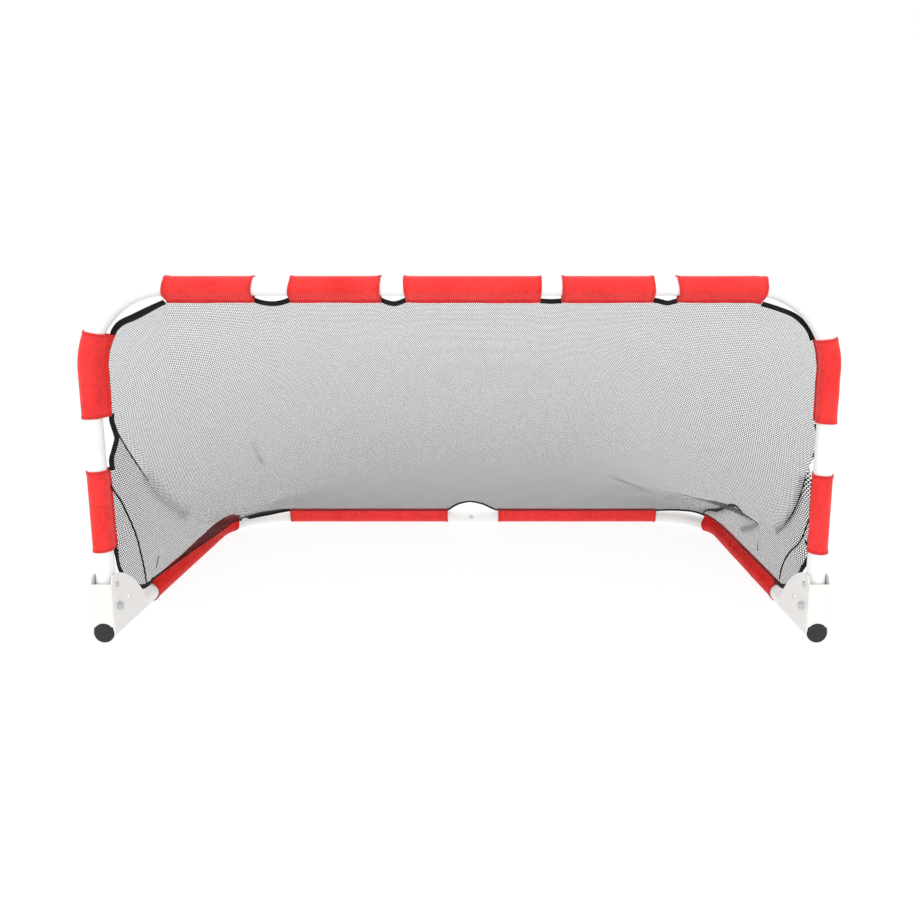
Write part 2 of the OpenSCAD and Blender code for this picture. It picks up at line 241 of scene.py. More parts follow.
def fabric(name, base, dark, sheen=0.08, rough=0.5, weave=0.00022, pitch=0.0009, spec=0.24):
    """Coated plain weave from the cloth's own coordinates in metres, with soft crease bumps, painted shade along the
    creases and the sewn tail, and uneven dye.
    """
    m, nt, b, _ = new_mat(name)
    uv = node(nt, "ShaderNodeUVMap", _uv_map="cloth")
    tc = node(nt, "ShaderNodeTexCoord")
    sep = node(nt, "ShaderNodeSeparateXYZ")
    nt.links.new(uv.outputs[0], sep.inputs[0])
    k = 2 * math.pi / pitch
    sx = math_node(nt, "SINE", math_node(nt, "MULTIPLY", sep.outputs[0], k))
    sy = math_node(nt, "SINE", math_node(nt, "MULTIPLY", sep.outputs[1], k))
    w = math_node(nt, "MULTIPLY", sx, sy)
    cloud = node(nt, "ShaderNodeTexNoise", Scale=16.0, Detail=4.0, Roughness=0.55)
    crease = node(nt, "ShaderNodeTexNoise", Scale=34.0, Detail=3.0, Roughness=0.5, Distortion=1.2)
    for n in (cloud, crease):
        nt.links.new(tc.outputs["Object"], n.inputs["Vector"])
    col = ramp(nt, cloud.outputs[0], [(0.32, dark), (0.56, base)])
    mixw = node(nt, "ShaderNodeMix", _data_type="RGBA", _blend_type="MULTIPLY")
    mixw.inputs[0].default_value = 0.35
    shade = ramp(nt, math_node(nt, "MULTIPLY_ADD", w, 0.5), [(0.0, (0.72, 0.72, 0.72)), (1.0, (1.0, 1.0, 1.0))])
    shade.node.inputs[0].links[0].from_node.inputs[2].default_value = 0.5
    # painted crease shade: thin darker lines where the noise turns, painted into the colour as the shade that falls in
    # the creases
    fold = ramp(nt, crease.outputs[0], [(0.40, (1, 1, 1)), (0.475, (0.80, 0.80, 0.80)), (0.50, (1, 1, 1)), (0.60, (1, 1, 1)), (0.66, (0.88, 0.88, 0.88))])
    # painted shade: the crease lines multiply the cloth colour
    mix_painted_crease_shade = node(nt, "ShaderNodeMix", _data_type="RGBA", _blend_type="MULTIPLY")
    mix_painted_crease_shade.inputs[0].default_value = 0.75
    nt.links.new(col, mix_painted_crease_shade.inputs[6])
    nt.links.new(fold, mix_painted_crease_shade.inputs[7])
    nt.links.new(mix_painted_crease_shade.outputs[2], mixw.inputs[6])
    nt.links.new(shade, mixw.inputs[7])
    # the sewn tail and the hems are doubled cloth, puckered along the stitches; the colour is painted darker along the
    # tail as painted shade of the downward-facing tail, and is a little darker near the hems
    ed = node(nt, "ShaderNodeUVMap", _uv_map="edge")
    se = node(nt, "ShaderNodeSeparateXYZ")
    nt.links.new(ed.outputs[0], se.inputs[0])
    t1 = node(nt, "ShaderNodeMapRange")
    t1.inputs[1].default_value, t1.inputs[2].default_value, t1.inputs[3].default_value, t1.inputs[4].default_value = 0.0040, 0.0065, 0.80, 1.0
    nt.links.new(se.outputs[0], t1.inputs[0])
    t2 = node(nt, "ShaderNodeMapRange")
    t2.inputs[1].default_value, t2.inputs[2].default_value, t2.inputs[3].default_value, t2.inputs[4].default_value = 0.0050, 0.0064, 0.88, 1.0
    nt.links.new(se.outputs[1], t2.inputs[0])
    # painted shade on the tail, and a darker colour near the hems
    painted_tail_shade_and_hem_dark = math_node(nt, "MULTIPLY", t1.outputs[0], t2.outputs[0])
    mixd = node(nt, "ShaderNodeMix", _data_type="RGBA", _blend_type="MULTIPLY")
    mixd.inputs[0].default_value = 1.0
    nt.links.new(mixw.outputs[2], mixd.inputs[6])
    comb = node(nt, "ShaderNodeCombineColor")
    for i in range(3):
        nt.links.new(painted_tail_shade_and_hem_dark, comb.inputs[i])
    nt.links.new(comb.outputs[0], mixd.inputs[7])
    nt.links.new(mixd.outputs[2], b.inputs["Base Color"])
    b.inputs["Roughness"].default_value = rough
    b.inputs["Specular IOR Level"].default_value = spec
    b.inputs["Sheen Weight"].default_value = sheen
    b.inputs["Sheen Roughness"].default_value = 0.4
    b1 = node(nt, "ShaderNodeBump", Strength=0.7, Distance=0.0030)
    nt.links.new(crease.outputs[0], b1.inputs["Height"])
    b2 = node(nt, "ShaderNodeBump", Strength=0.5, Distance=weave)
    nt.links.new(w, b2.inputs["Height"])
    nt.links.new(b1.outputs[0], b2.inputs["Normal"])
    nt.links.new(b2.outputs[0], b.inputs["Normal"])
    return m


def tape_mat(name, base, dark, pitch=0.0016):
    """Ribbed woven tape: ribs across the strip."""
    m, nt, b, _ = new_mat(name)
    uv = node(nt, "ShaderNodeUVMap", _uv_map="cloth")
    sep = node(nt, "ShaderNodeSeparateXYZ")
    nt.links.new(uv.outputs[0], sep.inputs[0])
    rib = math_node(nt, "SINE", math_node(nt, "MULTIPLY", sep.outputs[0], 2 * math.pi / pitch))
    nz = node(nt, "ShaderNodeTexNoise", Scale=60.0, Detail=3.0)
    tc = node(nt, "ShaderNodeTexCoord")
    nt.links.new(tc.outputs["Object"], nz.inputs["Vector"])
    col = ramp(nt, nz.outputs[0], [(0.35, dark), (0.65, base)])
    nt.links.new(col, b.inputs["Base Color"])
    b.inputs["Roughness"].default_value = 0.78
    b.inputs["Specular IOR Level"].default_value = 0.2
    bp = node(nt, "ShaderNodeBump", Strength=0.5, Distance=0.0003)
    nt.links.new(rib, bp.inputs["Height"])
    nt.links.new(bp.outputs[0], b.inputs["Normal"])
    return m


def net_mat(name, a=0.0034, c=0.0030, hole=0.795, close=(0.27, 0.03), col=(0.016, 0.016, 0.017)):
    """Fine knotless mesh: hexagonal holes on a staggered grid in the cloth's own coordinates, see-through between the threads.
    The holes close a little further down the cloth, where the slack net is bunched."""
    m, nt, b, out = new_mat(name)
    uv = node(nt, "ShaderNodeUVMap", _uv_map="cloth")
    sep = node(nt, "ShaderNodeSeparateXYZ")
    nt.links.new(uv.outputs[0], sep.inputs[0])
    X, Y = sep.outputs[0], sep.outputs[1]

    def cell(off):
        fx = math_node(nt, "FRACT", math_node(nt, "ADD", math_node(nt, "DIVIDE", X, a), off))
        fy = math_node(nt, "FRACT", math_node(nt, "ADD", math_node(nt, "DIVIDE", Y, 2 * c), off))
        dx = math_node(nt, "MULTIPLY", math_node(nt, "ABSOLUTE", math_node(nt, "SUBTRACT", fx, 0.5)), 2.0)
        dy = math_node(nt, "MULTIPLY", math_node(nt, "ABSOLUTE", math_node(nt, "SUBTRACT", fy, 0.5)), 2.0)
        # hexagon norm: 1 at the middle of a cell wall
        slant = math_node(nt, "ADD", math_node(nt, "MULTIPLY", dx, 0.5), math_node(nt, "MULTIPLY", dy, 1.5))
        return math_node(nt, "MAXIMUM", dx, slant)

    d = math_node(nt, "MINIMUM", cell(0.0), cell(0.5))
    shut = math_node(nt, "MULTIPLY", Y, math_node(nt, "ADD", math_node(nt, "MULTIPLY", Y, close[1]), close[0]))
    bunch = node(nt, "ShaderNodeUVMap", _uv_map="edge")
    sb = node(nt, "ShaderNodeSeparateXYZ")
    nt.links.new(bunch.outputs[0], sb.inputs[0])
    size = math_node(nt, "SUBTRACT", math_node(nt, "SUBTRACT", hole, shut), sb.outputs[0])
    thread = math_node(nt, "GREATER_THAN", d, size)
    nz = node(nt, "ShaderNodeTexNoise", Scale=30.0, Detail=2.0)
    tc = node(nt, "ShaderNodeTexCoord")
    nt.links.new(tc.outputs["Object"], nz.inputs["Vector"])
    shade = ramp(nt, nz.outputs[0], [(0.3, tuple(x * 0.7 for x in col)), (0.7, tuple(x * 1.5 for x in col))])
    nt.links.new(shade, b.inputs["Base Color"])
    b.inputs["Roughness"].default_value = 0.6
    b.inputs["Specular IOR Level"].default_value = 0.2
    bp = node(nt, "ShaderNodeBump", Strength=0.6, Distance=0.0004)
    nt.links.new(d, bp.inputs["Height"])
    nt.links.new(bp.outputs[0], b.inputs["Normal"])
    nt.links.new(thread, b.inputs["Alpha"])
    return m


def plain(name, col, rough, metal=0.0, scale=80.0, bump=0.0002, var=0.12, strength=0.3):
    m, nt, b, _ = new_mat(name)
    tc = node(nt, "ShaderNodeTexCoord")
    nz = node(nt, "ShaderNodeTexNoise", Scale=scale, Detail=4.0)
    nt.links.new(tc.outputs["Object"], nz.inputs["Vector"])
    c = ramp(nt, nz.outputs[0], [(0.35, tuple(x * (1 - var) for x in col)), (0.65, tuple(min(1, x * (1 + var)) for x in col))])
    nt.links.new(c, b.inputs["Base Color"])
    r = math_node(nt, "MULTIPLY_ADD", nz.outputs[0], 0.2)
    r.node.inputs[2].default_value = rough - 0.1
    nt.links.new(r, b.inputs["Roughness"])
    b.inputs["Metallic"].default_value = metal
    if not metal:
        b.inputs["Specular IOR Level"].default_value = 0.3
    bp = node(nt, "ShaderNodeBump", Strength=strength, Distance=bump)
    nt.links.new(nz.outputs[0], bp.inputs["Height"])
    nt.links.new(bp.outputs[0], b.inputs["Normal"])
    return m


M_TUBE = paint("white_powder_coat", (0.90, 0.898, 0.883))
M_BRACKET = paint("bracket_powder_coat", (0.846, 0.834, 0.815), rough=0.42, tint=0.02)
M_RED = fabric("red_polyester", (1.0, 0.040, 0.037), (0.93, 0.028, 0.026))
# painted shade: the same red polyester as M_RED, made darker and less shiny for the side sleeves to stand in for the
# different light they get near the floor
M_RED_SHADED_COPY = fabric("red_polyester_painted_shade", (0.86, 0.020, 0.016), (0.74, 0.013, 0.011), sheen=0.0, spec=0.1)
M_THREAD = plain("red_thread", (0.44, 0.010, 0.012), 0.7, scale=900.0)
M_TAPE = tape_mat("black_binding", (0.012, 0.012, 0.012), (0.006, 0.006, 0.006))
M_NET = net_mat("black_mesh")
M_NET_SIDE = net_mat("black_mesh_side", a=0.0046, c=0.0037, hole=0.66, close=(0.0, 0.0))
M_PLEAT = net_mat("black_mesh_pleat", hole=0.05, close=(0.0, 0.0))
M_CAP = plain("black_plastic", (0.027, 0.027, 0.026), 0.6, scale=260.0, bump=0.00012, strength=0.5)
M_NYLON = plain("black_nylon", (0.03, 0.03, 0.03), 0.5, scale=200.0)
M_ZINC = plain("zinc_plate", (0.66, 0.67, 0.69), 0.38, metal=1.0, scale=120.0)
M_CLIP = plain("spring_steel", (0.60, 0.61, 0.63), 0.34, metal=1.0, scale=160.0)

for n, mat in {"front_left_tube": M_TUBE, "front_right_tube": M_TUBE, "ground_left_tube": M_TUBE, "ground_right_tube": M_TUBE,
               "left_bracket": M_BRACKET, "right_bracket": M_BRACKET, "left_foot_cap": M_CAP, "right_foot_cap": M_CAP,
               "pivot_bolts": M_ZINC, "pivot_nuts": M_ZINC, "pivot_spacers": M_NYLON, "rear_clip": M_CLIP, "crossbar_clip": M_CLIP,
               "left_lock_clip": M_CLIP, "right_lock_clip": M_CLIP}.items():
    ob = bpy.data.objects.get(n)
    for o in bpy.context.scene.objects:
        if o.get("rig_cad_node") == n:
            ob = o
    ob.data.materials.clear()
    ob.data.materials.append(mat)


# ---------------------------------------------------------------- frame routes
def front_route(kind, side, a, b, n_step=4.0, bend_a=0.0, bend_b=0.0):
    """Stations along the front frame: centre, outward unit, normal unit, tangent. kind bar: x from a to b; post: z from a to b with a bend of bend_b degrees on top."""
    st = []
    if kind == "bar":
        if bend_a > 0:      # left end, into the left bend
            for ang in np.arange(bend_a, 0, -1.6):
                t = math.radians(90 - ang)
                u = np.array([-math.cos(t), 0, math.sin(t)])
                st.append((np.array([-CX, 0, CZ]) + RB * u, u, np.array([math.sin(t), 0, math.cos(t)])))
        m = max(2, int(round((b - a) / n_step)))
        for x in np.linspace(a, b, m + 1):
            st.append((np.array([x, 0, HBAR]), np.array([0, 0, 1.0]), np.array([1.0, 0, 0])))
        if bend_b > 0:
            for ang in np.arange(1.6, bend_b + 0.8, 1.6):
                t = math.radians(90 - ang)
                u = np.array([math.cos(t), 0, math.sin(t)])
                st.append((np.array([CX, 0, CZ]) + RB * u, u, np.array([math.sin(t), 0, -math.cos(t)])))
        N = np.array([0, -1.0, 0])
    elif kind == "post":
        m = max(2, int(round((b - a) / n_step)))
        for z in np.linspace(a, b, m + 1):
            st.append((np.array([side * HALF, 0, z]), np.array([side * 1.0, 0, 0]), np.array([0, 0, 1.0])))
        for ang in np.arange(1.6, bend_b + 0.8, 1.6):
            t = math.radians(ang)
            u = np.array([side * math.cos(t), 0, math.sin(t)])
            st.append((np.array([side * CX, 0, CZ]) + RB * u, u, np.array([-side * math.sin(t), 0, math.cos(t)])))
        N = np.array([0, -1.0, 0])
    elif kind == "side":
        m = max(2, int(round((b - a) / n_step)))
        for y in np.linspace(a, b, m + 1):
            st.append((np.array([side * HALF, y, BZ]), np.array([side * 1.0, 0, 0]), np.array([0, 1.0, 0])))
        for ang in np.arange(1.6, bend_b + 0.8, 1.6):
            t = math.radians(ang)
            u = np.array([side * math.cos(t), math.sin(t), 0])
            st.append((np.array([side * CX, CY, BZ]) + RB * u, u, np.array([-side * math.sin(t), math.cos(t), 0])))
        N = np.array([0, 0, 1.0])
    else:                   # rear
        m = max(2, int(round((b - a) / n_step)))
        for x in np.linspace(a, b, m + 1):
            st.append((np.array([x, YREAR, BZ]), np.array([0, 1.0, 0]), np.array([1.0, 0, 0])))
        for ang in np.arange(1.6, bend_b + 0.8, 1.6):
            t = math.radians(90 - ang)
            u = np.array([math.cos(t), math.sin(t), 0])
            st.append((np.array([CX, CY, BZ]) + RB * u, u, np.array([math.sin(t), -math.cos(t), 0])))
        N = np.array([0, 0, 1.0])
    C = np.array([s[0] for s in st])
    U = np.array([s[1] for s in st])
    T = np.array([s[2] for s in st])
    V = np.tile(N, (len(st), 1))
    S = np.r_[0, np.cumsum(np.linalg.norm(np.diff(C, axis=0), axis=1))]
    return C, U, V, T, S


def section(r, loose, reach, seam_in, n_arc=40, n_leg=8, n_tail=5, gap=0.35):
    """One fabric loop round a tube of radius r in a frame whose +x is the tail: points from the tail's end on its upper side, round the tube, to the end on the lower side.
    Returns points, and each point's weight for looseness (0 on the tail, 1 round the tube)."""
    rho = r + loose
    join = min(rho + seam_in, reach - 3.6)
    ta = math.acos(min(0.999, rho / join))
    pts, wt = [], []
    for x in np.linspace(reach, join, n_tail):
        pts.append((x, gap)); wt.append(0.0)
    p1 = np.array([rho * math.cos(ta), rho * math.sin(ta)])
    p0 = np.array([join, gap])
    for t in np.linspace(0, 1, n_leg + 1)[1:-1]:
        pts.append(tuple(p0 * (1 - t) + p1 * t)); wt.append(0.85 * t)
    for t in np.linspace(ta, 2 * math.pi - ta, n_arc):
        pts.append((rho * math.cos(t), rho * math.sin(t))); wt.append(1.0)
    n = len(pts)
    for i in range(n_leg + n_tail - 2, -1, -1):
        pts.append((pts[i][0], -pts[i][1])); wt.append(wt[i])
    return np.array(pts), np.array(wt)


STITCH = {}


def stitch_rows(paths, mat, name, length=2.3, gap=1.1, r=0.28):
    """Thread stitches along paths. Each path is (points, outward normals): small flattened capsules that sink into the cloth at their ends."""
    V, F = [], []
    prof = [(-0.5, 0.25), (-0.36, 0.85), (0.0, 1.0), (0.36, 0.85), (0.5, 0.25)]
    for pts, nrm in paths:
        pts, nrm = np.asarray(pts, float), unit(nrm)
        d = np.r_[0, np.cumsum(np.linalg.norm(np.diff(pts, axis=0), axis=1))]
        if d[-1] < length:
            continue
        s = np.arange(length / 2 + 0.4, d[-1] - length / 2, length + gap)
        for c in s:
            P = np.array([np.interp(c, d, pts[:, k]) for k in range(3)])
            Q = np.array([np.interp(c + 0.6, d, pts[:, k]) for k in range(3)]) - np.array([np.interp(c - 0.6, d, pts[:, k]) for k in range(3)])
            N = unit(np.array([np.interp(c, d, nrm[:, k]) for k in range(3)]))
            T = unit(Q)
            B = unit(np.cross(N, T))
            base = len(V)
            for (x, k) in prof:
                for a in range(6):
                    an = a * math.pi / 3
                    V.append(P + T * (x * length) + N * (0.05 + r * k * math.sin(an) - (0.22 if abs(x) > 0.4 else 0)) + B * (r * 1.15 * k * math.cos(an)))
            for j in range(len(prof) - 1):
                for a in range(6):
                    b2 = (a + 1) % 6
                    F.append((base + j * 6 + a, base + j * 6 + b2, base + (j + 1) * 6 + b2, base + (j + 1) * 6 + a))
            F.append(tuple(base + a for a in range(5, -1, -1)))
            F.append(tuple(base + (len(prof) - 1) * 6 + a for a in range(6)))
    return make(name, np.array(V), F, mat)


SLEEVES = {}


def sleeve(node_name, body, kind, side, a, b, tail_deg, reach, r, bend_a=0.0, bend_b=0.0, loose=1.2, seed=1, wr=0.8, out_bias=0.0, skew=(0.0, 0.0), cut=(0.0, 0.0), tail_to=None, flap=None, seam_in=8.5):
    """A sewn fabric sleeve: one sheet round the tube, its two layers stitched together past the tube."""
    C, U, V, T, S = front_route(kind, side, a, b, 3.5, bend_a, bend_b)
    L = S[-1]
    if isinstance(tail_deg, tuple):                       # a table of places along the run, and the angle at each
        ta = np.radians(np.interp(S, *tail_deg))[:, None]
    else:
        ta = np.radians(np.interp(S, [0, L], [tail_deg, tail_deg if tail_to is None else tail_to]))[:, None]
    X = U * np.cos(ta) + V * np.sin(ta)                  # towards the tail
    Y = -U * np.sin(ta) + V * np.cos(ta)
    th = 0.55
    nst = len(S)
    rows_out, rows_in, rows_net, arcs = [], [], [], None
    for i in range(nst):
        s = S[i]
        e = min(s, L - s)
        open_end = 0.9 * math.exp(-e / 9.0)
        lo = loose * (0.75 + 0.45 * float(noise1(s / 60.0, seed))) + open_end
        lo = max(lo, 0.5)
        rch = reach + 0.9 * float(noise1(s / 28.0, seed + 7)) - (0.6 if e < 4 else 0)
        P, wt = section(r, lo, rch, seam_in)
        ang = np.arctan2(P[:, 1], P[:, 0])
        # soft creases that run out from the tail, and looser cloth on the far side
        cr = noise2(s / 42.0 + 1.3 * np.cos(ang), ang * 0.9 + 5.0, seed + 3, 3)
        fold = np.abs(noise2(s / 26.0 + 1.7 * ang, ang * 0.35, seed + 11, 2))
        disp = wt * (wr * np.maximum(cr, -0.45) + 0.9 * wr * (0.45 - fold) * (0.5 + 0.5 * np.cos(ang)))
        disp += wt * out_bias * np.clip(-np.cos(ang), 0, 1) * smooth(min(1.0, e / 30.0) * 0.6 + 0.4)
        rad = np.linalg.norm(P, axis=1)
        mn = r + 0.30 + th
        new = np.where(wt > 0.9, np.maximum(rad + disp, mn), rad + disp * 0.8)
        P = P * (new / rad)[:, None]
        if (e < 6.2):                                     # the hem is double cloth
            h = 0.45 * smooth((6.2 - e) / 1.2)
        else:
            h = 0.0
        groove = -0.30 * math.exp(-((e - 5.2) / 0.9) ** 2)
        tn = np.gradient(P, axis=0)
        nr = unit(np.stack([-tn[:, 1], tn[:, 0]], 1))
        # outward: away from the loop's inside
        mid = len(P) // 2
        if nr[mid] @ P[mid] < 0:
            nr = -nr
        O = P + nr * (h + groove)
        # tail wave
        wave = 0.8 * float(noise1(s / 35.0, seed + 21))
        tl = np.clip((O[:, 0] - (r + 3)) / max(rch - r - 3, 1), 0, 1) * (wt < 0.05)
        O[:, 1] += tl * wave
        I = O - nr * th
        # the ends of the cut cloth are not quite square to the tube
        for Q, rows in ((O, rows_out), (I, rows_in)):
            p = C[i] + Q[:, :1] * X[i] + Q[:, 1:] * Y[i]
            out = (p - C[i]) @ U[i]
            sk = (skew[0] * (1 - s / L) + skew[1] * s / L) * np.clip((out + 17) / 20.0, 0, 1.3)
            ct = -(cut[0] * math.exp(-s / 30.0) + cut[1] * math.exp(-(L - s) / 30.0)) * out
            p = p + T[i] * (sk + ct)[:, None]
            if Q is O:
                rows_net.append(p.copy())
            if flap is not None:                          # the sewn edge stands up past the net's line
                hgt = float(np.interp(s / L, flap[0], flap[1]))
                k = smooth((Q[:, 0] - (r + 5)) / (rch - r - 5))
                p = p + k[:, None] * (np.array([0, 0, hgt]) + U[i] * 0.10 * hgt)
            rows.append(p)
        if arcs is None:
            arcs = np.r_[0, np.cumsum(np.linalg.norm(np.diff(P, axis=0), axis=1))]
    n = len(rows_out[0])
    R = [np.vstack([o, q[::-1]]) for o, q in zip(rows_out, rows_in)]
    W = 2 * n
    verts = np.vstack(R)
    faces = []
    for i in range(nst - 1):
        for k in range(W):
            k2 = (k + 1) % W
            faces.append((i * W + k, (i + 1) * W + k, (i + 1) * W + k2, i * W + k2))
    for k in range(n - 1):
        faces.append((k, k + 1, W - 2 - k, W - 1 - k))
        o = (nst - 1) * W
        faces.append((o + k + 1, o + k, o + W - 1 - k, o + W - 2 - k))
    uvs = np.zeros((len(verts), 2))
    au = np.r_[arcs, arcs[::-1]]
    for i in range(nst):
        uvs[i * W:(i + 1) * W, 0] = S[i] / 1000.0
        uvs[i * W:(i + 1) * W, 1] = au / 1000.0
    edge = np.zeros_like(uvs)
    edge[:, 0] = np.tile(np.minimum(au, arcs[-1] - au), nst) / 1000.0
    edge[:, 1] = np.repeat(np.minimum(S, L - S), W) / 1000.0
    # the side sleeves take the darker copy of the red cloth: painted shade
    ob = make(node_name + "_cloth", verts, faces, M_RED_SHADED_COPY if kind == "side" else M_RED, uv=uvs, uv2=edge)
    bm = bmesh.new(); bm.from_mesh(ob.data)
    bmesh.ops.recalc_face_normals(bm, faces=bm.faces)
    bm.to_mesh(ob.data); bm.free()
    ob.data.polygons.foreach_set("use_smooth", [True] * len(ob.data.polygons))
    # stitches: round both hems, and along both faces of the tail
    rows_out = np.array(rows_out)
    ctr = C[:, None, :]
    paths = []
    for target in (5.2, L - 5.2):
        i = int(np.argmin(np.abs(S - target)))
        loop = rows_out[i]
        paths.append((loop, loop - C[i] + 1e-6))
        tn = np.gradient(loop, axis=0)
        nn = np.cross(tn, T[i])
        if (nn[n // 2] @ (loop[n // 2] - C[i])) < 0:
            nn = -nn
        paths[-1] = (loop, nn)
    for k, sgn in ((2, 1), (n - 3, -1), (4, 1), (n - 5, -1)):
        line = rows_out[:, k]
        nn = Y * sgn
        paths.append((line, nn))
    st = stitch_rows(paths, M_THREAD, node_name + "_stitching")
    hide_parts(node_name)
    width = float(arcs[-1]) / 1000.0
    if kind != "side":                                    # the side sleeves are left unattached here; they are baked further down with the net
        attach(ob, body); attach(st, body)
    SLEEVES[node_name] = dict(cloth=ob, stitching=st, rows=np.array(rows_net), S=S, X=X, Y=Y, C=C, T=T, flat=(L, width * 1000))
    return ob


F, G = "front_frame", "ground_frame"
BT = 200.0
sleeve("bar_sleeve_outer_left", F, "bar", 0, -CX, -329, BT, 28.5, PR, bend_a=3, seed=11, loose=0.9, wr=0.7, skew=(6.0, 3.6))
sleeve("bar_sleeve_inner_left", F, "bar", 0, -272, -125, BT, 28.5, PR, seed=12, loose=0.8, wr=0.7, skew=(4.5, 1.6))
sleeve("bar_sleeve_centre", F, "bar", 0, -86, 131, BT, 28.8, PR, seed=13, loose=0.8, wr=0.5, skew=(-1.0, 0.0))
sleeve("bar_sleeve_inner_right", F, "bar", 0, 164, 312, BT, 28.5, PR, seed=14, loose=0.8, wr=0.8, skew=(-0.8, -2.6))
sleeve("bar_sleeve_outer_right", F, "bar", 0, 350, CX, BT, 28.5, PR, bend_b=11, seed=15, loose=0.9, wr=0.8, skew=(-4.0, -4.5))
sleeve("post_sleeve_upper_left", F, "post", -1, 381, CZ, 217, 29.5, PR, bend_b=27, seed=21, loose=0.8, wr=1.0, cut=(0.0, 0.26), tail_to=212)
sleeve("post_sleeve_lower_left", F, "post", -1, 156, 294, 237, 25.2, PR, seed=22, loose=0.8, wr=0.7, tail_to=248)
sleeve("post_sleeve_upper_right", F, "post", 1, 373, CZ, 243, 26.0, PR, bend_b=23, seed=23, loose=0.8, wr=1.0, out_bias=0.4, cut=(0.0, 0.22))
sleeve("post_sleeve_lower_right", F, "post", 1, 153, 287, 252, 24.2, PR, seed=24, loose=0.8, wr=0.6)
sleeve("side_sleeve_left", G, "side", -1, 150, CY, ((0, 83, 152, 245, 298, 350, 424), (104, 115, 122, 134, 141, 146, 148)), 28.6, GR, bend_b=28, seed=31, loose=0.75, wr=0.6, seam_in=5.0,
       flap=((0.0, 0.22, 0.45, 0.66, 0.80, 0.92, 1.0), (0.0, 4.0, 14.0, 24.0, 25.0, 20.0, 11.0)))
sleeve("side_sleeve_right", G, "side", 1, 148, CY, 109, 28.6, GR, bend_b=27, seed=32, loose=0.75, wr=1.0, tail_to=112, seam_in=4.0)
sleeve("rear_sleeve_left", G, "rear", 0, -460, -59, 138, 29.0, GR, seed=33, loose=0.75, wr=0.4)
sleeve("rear_sleeve_right", G, "rear", 0, 70, CX, 138, 29.0, GR, bend_b=3.5, seed=34, loose=0.75, wr=0.4)


# ---------------------------------------------------------------- the net: its edge
def tail_mid(name, k=1):
    """The line between the two layers of a sleeve's tail, just inside its end."""
    r = SLEEVES[name]["rows"]
    n = r.shape[1]
    return (r[:, k] + r[:, n - 1 - k]) / 2


def P3(points):
    return np.array(points, float)


def walk(*parts):
    return np.vstack([P3(p) for p in parts])


tm = {k: tail_mid(k) for k in SLEEVES}
te = {k: tail_mid(k, 0) for k in SLEEVES}
GAP1 = spline([(-333, 11, 573), (-318, 10.5, 568), (-300, 10.5, 566), (-285, 10.5, 568), (-272, 11, 572.5)], 24)
GAP2 = spline([(-127, 11, 572.5), (-117, 10.5, 568.5), (-105, 10.5, 566), (-94, 10.5, 568.5), (-85, 11, 572.5)], 18)
GAP3 = spline([(130, 11, 570.5), (148, 11, 569.5), (166, 11, 570.5)], 14)
GAP4 = spline([(313, 11, 572), (324, 10.5, 569.5), (335, 10.5, 567), (345, 10.5, 569), (354, 11, 572)], 18)
COR_L = spline([(-566, 15.5, 512), (-562, 14.5, 521), (-551, 14, 533.5), (-526, 13.5, 545), (-500, 13, 557.5), (-475, 12, 569)], 40)
COR_R = spline([(488, 12, 566), (516, 13, 557.5), (544, 14, 546), (563, 16, 530), (573, 19, 517), (578, 22, 507)], 40)
GAP_PL = spline([(-577, 17.5, 386), (-577.5, 15.5, 374), (-571.5, 14.5, 352), (-571, 14.5, 343), (-577.5, 16, 325), (-584, 18.5, 309), (-585.5, 21, 288)], 36)
GAP_PR = spline([(587.5, 23, 378), (593, 23, 369), (597.5, 22.5, 356), (598.5, 22.5, 340), (598, 22.5, 322), (593, 23, 306), (588.5, 23.5, 292), (587.5, 23.5, 282)], 40)
SL0, SR0 = tm["side_sleeve_left"][0], tm["side_sleeve_right"][0]
LOW_L = spline([(-588.5, 21, 166), (-589, 18, 156), (-586, 14, 140), (-584.8, 17, 118), (-584.8, 31, 97), (-584.8, 53, 77), (-584.8, 76, 60), (-584.9, 97, 51), (-586.5, 120, 47), (-590, 138, 45.3), SL0 + (0, 3, 0)], 60)
LOW_R = spline([(588.2, 23, 163), (597, 22.5, 152), (596.5, 20.5, 138), (590, 19, 125), (585.2, 22, 112), (584.8, 34, 95), (584.8, 55, 76), (584.8, 78, 60), (585.2, 99, 51), (587, 122, 47.5), (589.6, 138, 45.3), SR0 + (0, 3, 0)], 60)
RL = tm["side_sleeve_left"][-1]
RR = tm["side_sleeve_right"][-1]
REAR_L = spline([RL, (-566.6, 583.0, 26.4), (-551.4, 590.0, 28.1), (-533.1, 596.0, 31.4), (-514.1, 600.0, 34.1), (-492.5, 604.0, 36.7), (-471.2, 609.0, 39.1), (-457.4, 614.0, 38.9), tm["rear_sleeve_left"][0] + (3, 0, 0)], 40)
REAR_C = spline([tm["rear_sleeve_left"][-1] - (3, 0, 0), (-56, 622, 38), (-46, 612, 48), (-31, 598, 60), (-16, 588, 67), (-1, 585, 70), (14, 588, 67), (30, 598, 60), (48, 614, 47), (62, 622, 38), tm["rear_sleeve_right"][0] + (3, 0, 0)], 60)
REAR_R = spline([tm["rear_sleeve_right"][-1] - (3, 0, 0), (494, 618, 38), (520, 611, 40), (545, 597, 42.5), (563, 580, 43.5), RR], 40)

